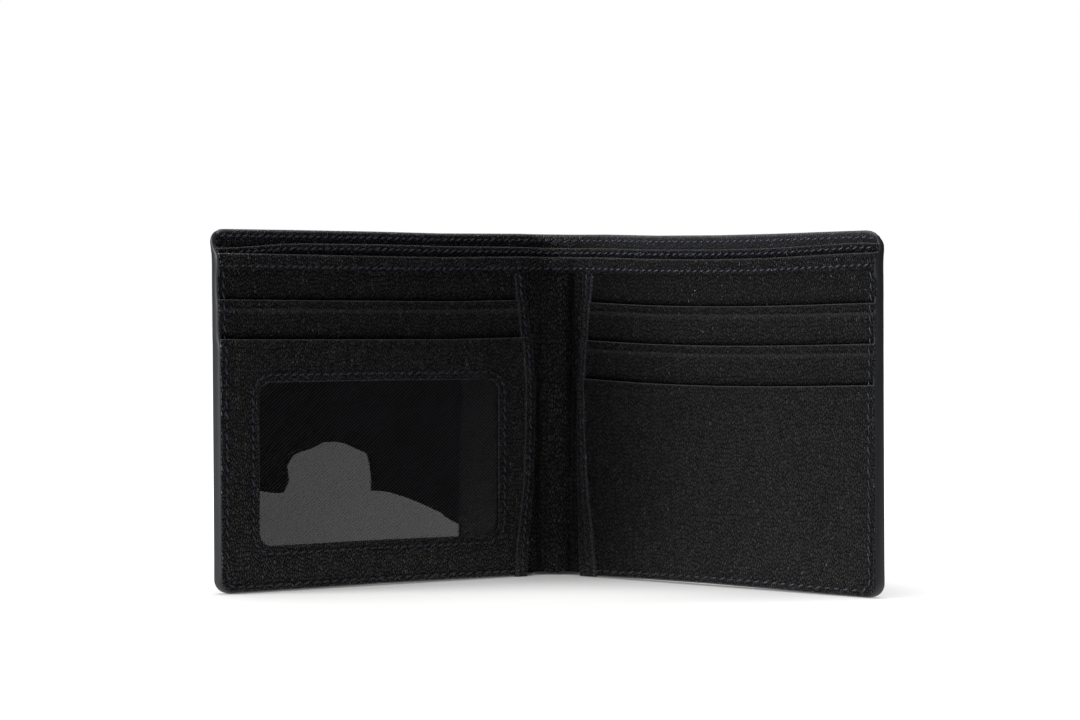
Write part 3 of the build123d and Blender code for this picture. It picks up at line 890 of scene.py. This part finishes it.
def centreRelief(side, s, z):
    # Long soft wrinkles down the middle, a low ridge left of it and a valley on the right
    x = side * s
    ridge = 0.85 * np.exp(-(((x + 0.9 + 0.5 * np.sin(z / 19)) / 2.7) ** 2))
    valley = -0.75 * np.exp(-(((x - 4.0 + 0.5 * np.sin(z / 24 + 1)) / 1.3) ** 2))
    hollow = -0.45 * np.exp(-(((x + 6.0) / 1.6) ** 2))
    facet = 0.55 * np.exp(-(((x - 4.6) / 1.1) ** 2)) * ease((z - 66) / 9)
    folds = 0.08 * np.sin(x * 2.7 + 1.4 * np.sin(z / 11.0) + 0.6 * np.sin(z / 4.3))
    folds = folds + 0.06 * np.sin(x * 1.3 - z * 0.21 + 1.1 * np.sin(z / 9.0))
    creases = 0.07 * np.sin(z * 2.1 + 0.8 * np.sin(x * 0.9)) * np.exp(-(((z - 73.5) / 3.5) ** 2))
    crumple = wave(x, z * 0.55, 4.2, 0.12, 21)
    ends = ease((z - 1.0) / 6) * ease((height - 9.5 - z) / 4)
    tuck = -0.35 * ease((s - foldHalf - 2.5) / 3.0)
    return (ridge + valley + hollow + facet + folds + creases + crumple) * (0.35 + 0.65 * ends) + tuck - 0.2


def centreShade(side, s, z):
    # Painted shade in the centre's valley, strongest higher up, and in the hollow beside the left binding low
    # down
    x = side * s
    valley = 0.55 * np.exp(-(((x - 4.3 + 0.5 * np.sin(z / 24 + 1)) / 1.9) ** 2))
    valley = valley * (0.3 + 0.7 * ease((z - 30) / 25))
    hollow = 0.35 * np.exp(-(((x + 7.0) / 1.2) ** 2)) * (1 - ease((z - 45) / 20))
    return np.clip(valley + hollow, 0, 0.9)


def makeCentre(side):
    s = np.arange(0, foldHalf + centreSheet["reach"], centreSheet["step"])
    z = np.linspace(0.6, wallTop - 1.2, 210)
    grid = np.meshgrid(s, z, indexing="ij")
    thick = 0.4
    mid = (level["base"][0] + level["base"][1]) / 2 + centreRelief(side, grid[0], grid[1])
    gap = np.minimum(grid[1] - 0.6, np.minimum(wallTop - 1.2 - grid[1], s[-1] - grid[0]))
    shade = centreShade(side, grid[0], grid[1])
    name = f"centreLeather{sideName[side]}"
    return shell(name, side, grid[0], grid[1], mid, rounded(gap, thick), softLeather, shade=shade)


windowShape = {"near": 15.9, "far": 87.7, "low": 11.6, "high": 53.2, "corner": 3.6, "seam": 1.9}


def roundedLoop(near, far, low, high, corner, perSide, perCorner):
    # Points round a rectangle with round corners, from the low near corner, as (s, z, outward s, outward z)
    corner = max(corner, 0.001)
    loop = []
    spots = [
        (near + corner, low + corner, math.pi, 1.5 * math.pi),
        (far - corner, low + corner, 1.5 * math.pi, 2 * math.pi),
        (far - corner, high - corner, 0.0, 0.5 * math.pi),
        (near + corner, high - corner, 0.5 * math.pi, math.pi),
    ]
    for k, (cs, cz, a0, a1) in enumerate(spots):
        for a in np.linspace(a0, a1, perCorner):
            loop.append((cs + corner * math.cos(a), cz + corner * math.sin(a)))
        ns, nz, b0, _ = spots[(k + 1) % 4]
        start = np.array(loop[-1])
        end = np.array([ns + corner * math.cos(b0), nz + corner * math.sin(b0)])
        for t in np.linspace(0, 1, perSide + 2)[1:-1]:
            loop.append(tuple(start + (end - start) * t))
    return np.array(loop)


def makeWindowFrame():
    side = -1
    w = windowShape
    back, front = level["lowerPocket"]
    thick = front - back
    far = reach - edge["inset"]
    top = slotTop(side, lowerSlot, 0.35, 0.75)
    inner = roundedLoop(foldHalf + w["near"], foldHalf + w["far"], w["low"], w["high"], w["corner"], 34, 9)
    outer = roundedLoop(foldHalf + 7.0, far, edge["inset"], lowerSlot + 0.75, 0.05, 34, 9)
    shares = np.unique(np.concatenate([
        [0, 0.004, 0.015, 0.03, 0.05], np.linspace(0.08, 0.92, 16), [0.95, 0.97, 0.985, 0.996, 1.0]
    ]))
    s = inner[:, None, 0] + (outer[:, None, 0] - inner[:, None, 0]) * shares[None, :]
    z = inner[:, None, 1] + (outer[:, None, 1] - inner[:, None, 1]) * shares[None, :]
    span = np.linalg.norm(outer - inner, axis=1)[:, None]
    fromHole = shares[None, :] * span
    fromEdge = (1 - shares[None, :]) * span
    # the near side follows the binding, and the top edge sags
    pull = np.clip((foldHalf + w["near"] - s) / (w["near"] - 7.0), 0, 1)
    s = s + pull * (bindingLine(side, "inner", z) + 1.2 - (foldHalf + 7.0))
    share = np.clip((z - w["high"]) / (lowerSlot + 0.75 - w["high"]), 0, 1)
    z = z + share * (top(s) - (lowerSlot + 0.75))
    topGap = top(s) - z
    holeS = np.maximum(np.maximum(foldHalf + w["near"] - s, s - (foldHalf + w["far"])), 0)
    holeZ = np.maximum(np.maximum(w["low"] - z, z - w["high"]), 0)
    fromWindow = np.hypot(holeS, holeZ)
    mid = (back + front) / 2 + wave(s, z, 20, 0.05, 8)
    mid = mid + dip(fromWindow - w["seam"], 0.07, 0.5) + dip(topGap - 2.0, 0.08, 0.3)
    mid = mid + dip(reach - s - 2.0, 0.06, 0.5) + dip(z - 1.8, 0.06, 0.5)
    held = np.sin(math.pi * np.clip((s - foldHalf) / coverEnd, 0, 1)) ** 0.5
    mid = mid + 0.25 * np.exp(-np.maximum(topGap, 0) / 1.6) * held
    # A painted highlight along the top edge, and a fainter one round the window's hole
    edgeHighlight = np.exp(-((topGap / 0.22) ** 2)) + 0.5 * np.exp(-((fromHole / 0.18) ** 2))
    s, z = roundCorner(s, z, far=far)
    half = rounded(np.minimum(fromHole, fromEdge), thick)
    return shell("windowFrame", side, s, z, mid, half, leather, edgeHighlight=np.clip(edgeHighlight, 0, 1), ring=True)


filmSheet = {"margin": 3.4, "step": 0.9}


def makeFilmSheet():
    w = windowShape
    near, far = foldHalf + w["near"] - filmSheet["margin"], foldHalf + w["far"] + filmSheet["margin"]
    low, high = w["low"] - filmSheet["margin"], w["high"] + filmSheet["margin"]
    back, front = level["film"]
    thick = front - back
    s = spread(near, far, filmSheet["step"], thick / 2)
    z = spread(low, high, filmSheet["step"], thick / 2)
    grid = np.meshgrid(s, z, indexing="ij")
    gap = np.minimum(np.minimum(grid[0] - near, far - grid[0]), np.minimum(grid[1] - low, high - grid[1]))
    # it lies a little uneven behind its frame
    uneven = wave(grid[0], grid[1], 38, 0.045, 31) + wave(grid[0], grid[1], 17, 0.012, 32)
    mid = (back + front) / 2 + uneven
    return shell("windowFilm", -1, grid[0], grid[1], mid, rounded(gap, thick), film)


say("making leather, lining and film")
upperLine = {-1: slotTop(-1, upperSlot, 0.35, 0.45), 1: slotTop(1, upperSlot, 0.6)}
frameLine = slotTop(-1, lowerSlot, 0.35, 0.75)
middleLine = slotTop(1, lowerSlot, 0.7, 0.1)
lowerLine = slotTop(1, thirdSlot, 0.95, 0.1)
noteHeight = {"cover": height - 13.0, "divider": dividerTop - 0.6, "wall": wallTop - 1.0}
sheetFar = reach - 0.75
for side, word in sideName.items():
    cad = word.lower()
    cover = settleIn(makeCover(side), side, [f"cover_{cad}", "cover_spine"], bends=True)

    for name, node, layer, top in (
        ("coverLining", "cover_lining", "coverLining", noteHeight["cover"]),
        ("noteDivider", "bill_divider", "divider", noteHeight["divider"]),
        ("noteWall", "bill_wall", "noteWall", noteHeight["wall"]),
    ):
        lining = plainSheet(f"{name}{word}", side, (0, sheetFar, 0.75, top), layer, twill, uneven=0.01)
        settleIn(lining, side, [f"{node}_{cad}", f"{node}_spine"], bends=True)

    trim = foldedTrim(f"dividerTrim{word}", side, trimTop, lambda side, s: trimTop(side, s) - 8.0, "trim", 41)
    settleIn(trim, side, [f"divider_trim_{cad}", "divider_trim_spine"], bends=True)
    hem = foldedTrim(f"topHem{word}", side, hemTop, hemLow, "hem", 51)
    settleIn(hem, side, [f"top_hem_{cad}", "top_hem_spine"], bends=True)
    settleIn(makeCentre(side), side, ["centre_strip"], bends=True)
    settleIn(makeEdgeBand(side), side, [f"edge_band_{cad}", "foot_band_spine"], bends=True)

    area = (foldHalf + 6.5, reach - edge["inset"], edge["inset"], wallTop - 1.0)
    base = plainSheet(
        f"basePanel{word}", side, area, "base", leather, step=2.0, seed=61 + side, line=upperLine[side]
    )
    settleIn(base, side, [f"base_panel_{cad}"])
    upper = cardSheet(
        f"upperCardPocket{word}", side, 54.0, upperLine[side], "upperPocket", seed=71 + side,
        line=frameLine if side < 0 else middleLine,
    )
    settleIn(upper, side, [f"upper_card_pocket_{cad}"])
    settleIn(makeBinding(side), side, [f"pocket_binding_{cad}"])

middle = cardSheet("middleCardPocket", 1, 44.0, middleLine, "middlePocket", seed=81, line=lowerLine)
settleIn(middle, 1, ["middle_card_pocket"])
lower = cardSheet("lowerCardPocket", 1, edge["inset"], lowerLine, "lowerPocket", seed=82, creaseDepth=0.02)
settleIn(lower, 1, ["lower_card_pocket"])
settleIn(makeWindowFrame(), -1, ["id_window_frame"])
settleIn(makeFilmSheet(), -1, ["id_window_film"])

idArea = (foldHalf + 8.0, sheetFar, 0.8, lowerSlot - 1.8)
idLining = plainSheet("idPocketLining", -1, idArea, "idLining", twill, uneven=0.015, seed=91)
settleIn(idLining, -1, ["id_pocket_lining"])
for node in ("upper_pocket_tab_left", "upper_pocket_tab_right", "middle_pocket_tab"):
    frame["nodes"][node].data.materials.clear()
    frame["nodes"][node].data.materials.append(tabTwill)


# Sewing: a line on the leather becomes a row of thread stitches
stitch = {
    "Pitch": 2.7 * mm,
    "Length": 2.3 * mm,
    "Width": 0.56 * mm,
    "Rise": 0.44 * mm,
    "Slant": 0.24,
    "Hole": 0.8 * mm,
}
fineStitch = {"Pitch": 2.1 * mm, "Length": 1.9 * mm, "Slant": 0.33}  # on the bindings and the trims
windowStitch = {"Pitch": 2.3 * mm, "Length": 2.0 * mm, "Slant": 0.28}
stitchDraw = {"wobble": 0.09, "thin": 0.88, "plump": 1.08}  # how unlike each other stitches are


def makeThreadTree():
    tree = bpy.data.node_groups.new("threadRow", "GeometryNodeTree")

    def socket(label, kind, value=None, way="INPUT"):
        made = tree.interface.new_socket(name=label, in_out=way, socket_type=kind)
        if value is not None:
            made.default_value = value

    socket("Geometry", "NodeSocketGeometry")
    for label, value in stitch.items():
        socket(label, "NodeSocketFloat", value)
    socket("Seed", "NodeSocketInt", 1)
    socket("Thread", "NodeSocketMaterial")
    socket("Shade", "NodeSocketMaterial")
    socket("Geometry", "NodeSocketGeometry", way="OUTPUT")
    t = Tree(tree)
    inside = t.add("NodeGroupInput")
    out = t.add("NodeGroupOutput")
    line = t.add("GeometryNodeMeshToCurve", {"Mesh": inside.outputs["Geometry"]}).outputs[0]
    pitch = inside.outputs["Pitch"]
    row = t.add("GeometryNodeResampleCurve", {"Curve": line, "Length": pitch}, mode="LENGTH").outputs[0]
    along = t.add("GeometryNodeInputTangent").outputs[0]
    facing = t.add("GeometryNodeInputNamedAttribute", {"Name": "facing"}, data_type="FLOAT_VECTOR").outputs[0]
    turn = t.add("FunctionNodeAlignRotationToVector", {"Vector": facing}, axis="Z").outputs[0]
    turn = t.add(
        "FunctionNodeAlignRotationToVector", {"Rotation": turn, "Vector": along}, axis="X", pivot_axis="Z"
    ).outputs[0]
    draw = {2: -stitchDraw["wobble"], 3: stitchDraw["wobble"], "Seed": inside.outputs["Seed"]}
    wobble = t.add("FunctionNodeRandomValue", draw, data_type="FLOAT").outputs[1]
    slant = t.add("ShaderNodeMath", {0: wobble, 1: inside.outputs["Slant"]}, operation="ADD").outputs[0]
    tilt = t.add("ShaderNodeCombineXYZ", {2: slant}).outputs[0]
    spin = t.add("FunctionNodeEulerToRotation", {0: tilt}).outputs[0]
    turn = t.add(
        "FunctionNodeRotateRotation", {"Rotation": turn, "Rotate By": spin}, rotation_space="LOCAL"
    ).outputs[0]
    bead = t.add("GeometryNodeMeshUVSphere", {"Segments": 8, "Rings": 6, "Radius": 0.5}).outputs[0]
    bead = t.add("GeometryNodeSetShadeSmooth", {"Geometry": bead}).outputs[0]
    draw = {2: stitchDraw["thin"], 3: stitchDraw["plump"], "ID": 3, "Seed": inside.outputs["Seed"]}
    plump = t.add("FunctionNodeRandomValue", draw, data_type="FLOAT").outputs[1]
    size = t.add(
        "ShaderNodeCombineXYZ",
        {0: inside.outputs["Length"], 1: inside.outputs["Width"], 2: inside.outputs["Rise"]},
    ).outputs[0]
    size = t.add("ShaderNodeVectorMath", {0: size, 3: plump}, operation="SCALE").outputs[0]
    beads = t.add(
        "GeometryNodeInstanceOnPoints", {"Points": row, "Instance": bead, "Rotation": turn, "Scale": size}
    ).outputs[0]
    beads = t.add("GeometryNodeRealizeInstances", {"Geometry": beads}).outputs[0]
    finish = {"Geometry": beads, "Material": inside.outputs["Thread"]}
    beads = t.add("GeometryNodeSetMaterial", finish).outputs[0]
    # a small flat dark spot at the end of each stitch: painted shade for the needle hole
    hole = t.add("GeometryNodeMeshUVSphere", {"Segments": 7, "Rings": 4, "Radius": 0.5}).outputs[0]
    holeSize = t.vector("MULTIPLY", inside.outputs["Hole"], (1.0, 0.75, 0.3))
    holes = t.add(
        "GeometryNodeInstanceOnPoints", {"Points": row, "Instance": hole, "Rotation": turn, "Scale": holeSize}
    ).outputs[0]
    aside = t.add("ShaderNodeCombineXYZ", {0: t.scaled(pitch, 0.5), 1: inside.outputs["Rise"]})
    aside = t.vector("MULTIPLY", aside.outputs[0], (1.0, 0.4, 0.0))
    holes = t.add("GeometryNodeTranslateInstances", {"Instances": holes, "Translation": aside}).outputs[0]
    holes = t.add("GeometryNodeRealizeInstances", {"Geometry": holes}).outputs[0]
    finish = {"Geometry": holes, "Material": inside.outputs["Shade"]}
    holes = t.add("GeometryNodeSetMaterial", finish).outputs[0]
    both = t.add("GeometryNodeJoinGeometry")
    t.link(beads, both.inputs[0])
    t.link(holes, both.inputs[0])
    t.link(both.outputs[0], out.inputs[0])
    return tree


threadTree = makeThreadTree()


def sew(name, seams, seed, side, nodes, changes=None, bends=False):
    # Each seam is a list of points and the direction that each faces
    points, facing, edges = [], [], []
    for line, normals in seams:
        first = len(points)
        points += [tuple(p) for p in line]
        facing += [tuple(v) for v in normals]
        edges += [(k, k + 1) for k in range(first, len(points) - 1)]
    mesh = bpy.data.meshes.new(f"{name}Line")
    mesh.from_pydata(points, edges, [])
    mesh.attributes.new("facing", "FLOAT_VECTOR", "POINT").data.foreach_set(
        "vector", np.array(facing, np.float32).ravel()
    )
    source = bpy.data.objects.new(f"{name}Line", mesh)
    bpy.context.scene.collection.objects.link(source)
    modifier = source.modifiers.new("row", "NODES")
    modifier.node_group = threadTree
    values = stitch | (changes or {}) | {"Seed": seed, "Thread": thread, "Shade": needleHoleShade}
    for item in threadTree.interface.items_tree:
        if item.in_out == "INPUT" and item.name in values:
            modifier[item.identifier] = values[item.name]
    graph = bpy.context.evaluated_depsgraph_get()
    made = bpy.data.meshes.new_from_object(source.evaluated_get(graph))
    made.name = name
    bpy.data.objects.remove(source)
    piece = bpy.data.objects.new(name, made)
    bpy.context.scene.collection.objects.link(piece)
    if not made.materials:
        made.materials.append(thread)
    return settleIn(piece, side, nodes, bends)


def seam(side, s, z, n, back=False):
    # A line at level n, with the direction that it faces
    s, z, n = np.broadcast_arrays(*[np.asarray(v, float) for v in (s, z, n)])
    return place(side, s, z, n), outward(side, s, back)


def cornerRun(low, high, far, radius, near):
    # Along the foot, round the outer corner, and up
    angles = np.linspace(0, math.pi / 2, 8)[1:-1]
    s = np.concatenate([
        np.linspace(near, far - radius, 40), far - radius + radius * np.sin(angles), np.full(30, far)
    ])
    z = np.concatenate([
        np.full(40, low), low + radius - radius * np.cos(angles), np.linspace(low + radius, high, 30)
    ])
    return s, z


seamPlaces = {"edgeIn": 2.0, "foot": 1.8, "lip": 1.75, "trim": 1.35, "hem": 1.25, "rise": 0.02}
say("sewing")
for side, word in sideName.items():
    cad = word.lower()
    far = reach - seamPlaces["edgeIn"]
    s, z = cornerRun(seamPlaces["foot"], wallTop - 5.5, far, 2.4, foldHalf + 11.4)
    seams = [seam(side, s, z, stackFront(side, z) + seamPlaces["rise"])]
    sew(f"edgeStitches{word}", seams, 3, side, [f"edge_stitches_{cad}"])

    z = np.linspace(2.2, height - 11.6, 120)
    share = 0.52
    s = bindingLine(side, "inner", z) * share + bindingLine(side, "outer", z) * (1 - share)
    seams = [seam(side, s, z, stackFront(side, z) + bindingPad + 0.02)]
    sew(f"bindingStitches{word}", seams, 5, side, [f"binding_stitches_{cad}"], fineStitch)

    s = np.linspace(0.6, reach - 3.2, 160)
    seams = [
        seam(side, s, height - seamPlaces["lip"], level["lip"][1] + 0.02 - lean(height - seamPlaces["lip"])),
        seam(side, s, trimTop(side, s) - seamPlaces["trim"], level["trim"][1] + 0.02),
        seam(side, s, hemLow(side, s) + seamPlaces["hem"], level["hem"][1] + 0.04),
    ]
    nodes = [f"top_stitches_{cad}", "stitches_spine"]
    sew(f"topStitches{word}", seams, 7, side, nodes, fineStitch, bends=True)

    s, z = cornerRun(seamPlaces["foot"], height / 2, far, 2.4, 0.6)
    outside = level["cover"][0] - 0.02
    seams = [
        seam(side, s, z, outside, back=True),
        seam(side, s, height - z, outside - lean(height - z), back=True),
    ]
    nodes = [f"outer_stitches_{cad}", "outer_stitches_spine"]
    sew(f"outerStitches{word}", seams, 9, side, nodes, bends=True)

w = windowShape
loop = roundedLoop(
    foldHalf + w["near"] - w["seam"], foldHalf + w["far"] + w["seam"],
    w["low"] - w["seam"], w["high"] + w["seam"], w["corner"] + w["seam"], 30, 8,
)
loop = np.vstack([loop, loop[:1]])
seams = [seam(-1, loop[:, 0], loop[:, 1], level["lowerPocket"][1] + 0.02)]
sew("windowStitches", seams, 13, -1, ["window_stitches"], windowStitch)


# The table, the light and the camera
studio = {
    "floorSize": 12.0,
    # the table's glow: weaker near a spot a little left of and in front of the wallet, a painted shadow, and
    # full far off
    "glow": {
        "centre": (-0.03, -0.035), "near": 0.14, "far": 0.72, "start": 0.06, "end": 0.13,
        "shine": 0.48, "sheen": 0.7,
    },
    "aim": (0.0, -0.03, 0.045),
    "key": {"at": (-0.94, -0.35, 0.36), "size": 0.36, "watts": 8.8},
    "top": {"at": (-0.1, 0.12, 1.1), "size": 0.9, "watts": 6.5},
    "fill": {"at": (0.95, -0.65, 0.3), "size": 0.5, "watts": 0.35},
    "sky": {"seen": 1.0, "diffuse": 0.5, "glossy": 0.02},
    "camera": {"at": (0.0423, -0.814, 0.076), "turn": (88.744, 0.0, 3.313), "lens": 100.25},
}
# Where the white table ends in the window's reflection, as (distance from the fold line, height)
tableEdge = [
    (19, 11.5), (34.6, 19), (48.5, 22.5), (54.6, 23.5), (55.7, 33), (63.8, 35.7),
    (72.4, 37.3), (78.5, 34.8), (81, 32), (80.6, 29.5), (83, 27.4), (92, 26.5),
]


def tableSpot(u, z):
    # The spot on the table that the camera sees in the film at this place on the left wing
    eye = Vector(studio["camera"]["at"])
    spot = Vector(place(-1, foldHalf + u, z, level["film"][1]))
    normal = Vector((math.sin(restTurn), -math.cos(restTurn), 0.0))
    ray = spot - eye
    ray = ray - 2 * ray.dot(normal) * normal
    return spot + ray * (spot.z / -ray.z)


def makeFloor(name, outline, at, material):
    mesh = bpy.data.meshes.new(name)
    mesh.from_pydata([(x, y, at) for x, y in outline], [], [list(range(len(outline)))])
    floor = bpy.data.objects.new(name, mesh)
    bpy.context.scene.collection.objects.link(floor)
    mesh.materials.append(material)
    return floor


def makeTableMaterial():
    # White paper with a painted shadow: its glow is weaker round the wallet's foot and full far off. It is
    # dimmer in what shines
    glow = studio["glow"]
    material, t, shader = newMaterial("paleTable")
    where = t.add("ShaderNodeTexCoord").outputs["Object"]
    away = t.vector("MULTIPLY", t.vector("SUBTRACT", where, (*glow["centre"], 0.0)), (0.72, 1.3, 0.0))
    distance = t.add("ShaderNodeVectorMath", {0: away}, operation="LENGTH").outputs["Value"]
    # painted shadow: less glow near the wallet's foot
    strength = t.remap(distance, glow["start"], glow["end"], glow["near"], glow["far"], smooth=True)
    path = t.add("ShaderNodeLightPath")
    paper = t.add("ShaderNodeBsdfDiffuse", {"Color": grey(0.8, 0.8, 0.795)}).outputs[0]
    lit = t.add("ShaderNodeEmission", {"Strength": strength}).outputs[0]
    lit = t.add("ShaderNodeAddShader", {0: paper, 1: lit}).outputs[0]
    shining = t.remap(path.outputs["Is Singular Ray"], 0.0, 1.0, glow["sheen"], glow["shine"])
    shine = t.add("ShaderNodeEmission", {"Strength": shining}).outputs[0]
    dim = t.math("MAXIMUM", path.outputs["Is Glossy Ray"], path.outputs["Is Transmission Ray"])
    both = t.add("ShaderNodeMixShader", {0: dim, 1: lit, 2: shine}).outputs[0]
    t.link(both, t.tree.nodes["Material Output"].inputs["Surface"])
    t.tree.nodes.remove(shader)
    return material


def makeTable():
    half = studio["floorSize"] / 2
    material = makeTableMaterial()
    square = [(-half, -half), (half, -half), (half, half), (-half, half)]
    backdrop = makeFloor("paleFloor", square, -0.0004, material)
    backdrop.visible_glossy = False
    backdrop.visible_transmission = False
    spots = [tableSpot(u, z) for u, z in tableEdge]
    cut = [(p.x, p.y) for p in spots]
    last, first = cut[-1], cut[0]
    outline = [(-0.9, -1.2), (last[0], -1.2)] + cut[::-1]
    outline += [(first[0] + 0.25, first[1] + 0.05), (0.55, 0.6), (-0.9, 0.6)]
    makeFloor("tableTop", outline, 0.0, material)


def makeLight(name, settings):
    data = bpy.data.lights.new(name, "AREA")
    data.size = settings["size"]
    data.energy = settings["watts"]
    light = bpy.data.objects.new(name, data)
    light.location = settings["at"]
    direction = Vector(studio["aim"]) - Vector(settings["at"])
    light.rotation_euler = direction.to_track_quat("-Z", "Y").to_euler()
    bpy.context.scene.collection.objects.link(light)


def makeWorld():
    # A bright room to the eye and to matt surfaces, and a dark one in what shines
    world = bpy.data.worlds.new("paleStudio")
    bpy.context.scene.world = world
    world.use_nodes = True
    t = Tree(world.node_tree)
    background = world.node_tree.nodes["Background"]
    path = t.add("ShaderNodeLightPath")
    sky = studio["sky"]
    strength = t.remap(path.outputs["Is Diffuse Ray"], 0.0, 1.0, sky["glossy"], sky["diffuse"])
    seen = t.scaled(path.outputs["Is Camera Ray"], sky["seen"] - sky["glossy"])
    t.link(t.math("ADD", strength, seen), background.inputs["Strength"])
    background.inputs["Color"].default_value = grey(1.0, 1.0, 1.0)


makeTable()
makeLight("keyLight", studio["key"])
makeLight("topLight", studio["top"])
makeLight("fillLight", studio["fill"])
makeWorld()
cameraData = bpy.data.cameras.new("camera")
cameraData.lens = studio["camera"]["lens"]
cameraData.sensor_width = 36.0
camera = bpy.data.objects.new("camera", cameraData)
camera.location = studio["camera"]["at"]
camera.rotation_euler = Euler([math.radians(a) for a in studio["camera"]["turn"]])
bpy.context.scene.collection.objects.link(camera)
bpy.context.scene.camera = camera
bpy.context.scene.view_settings.view_transform = "Standard"

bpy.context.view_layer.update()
say("done")
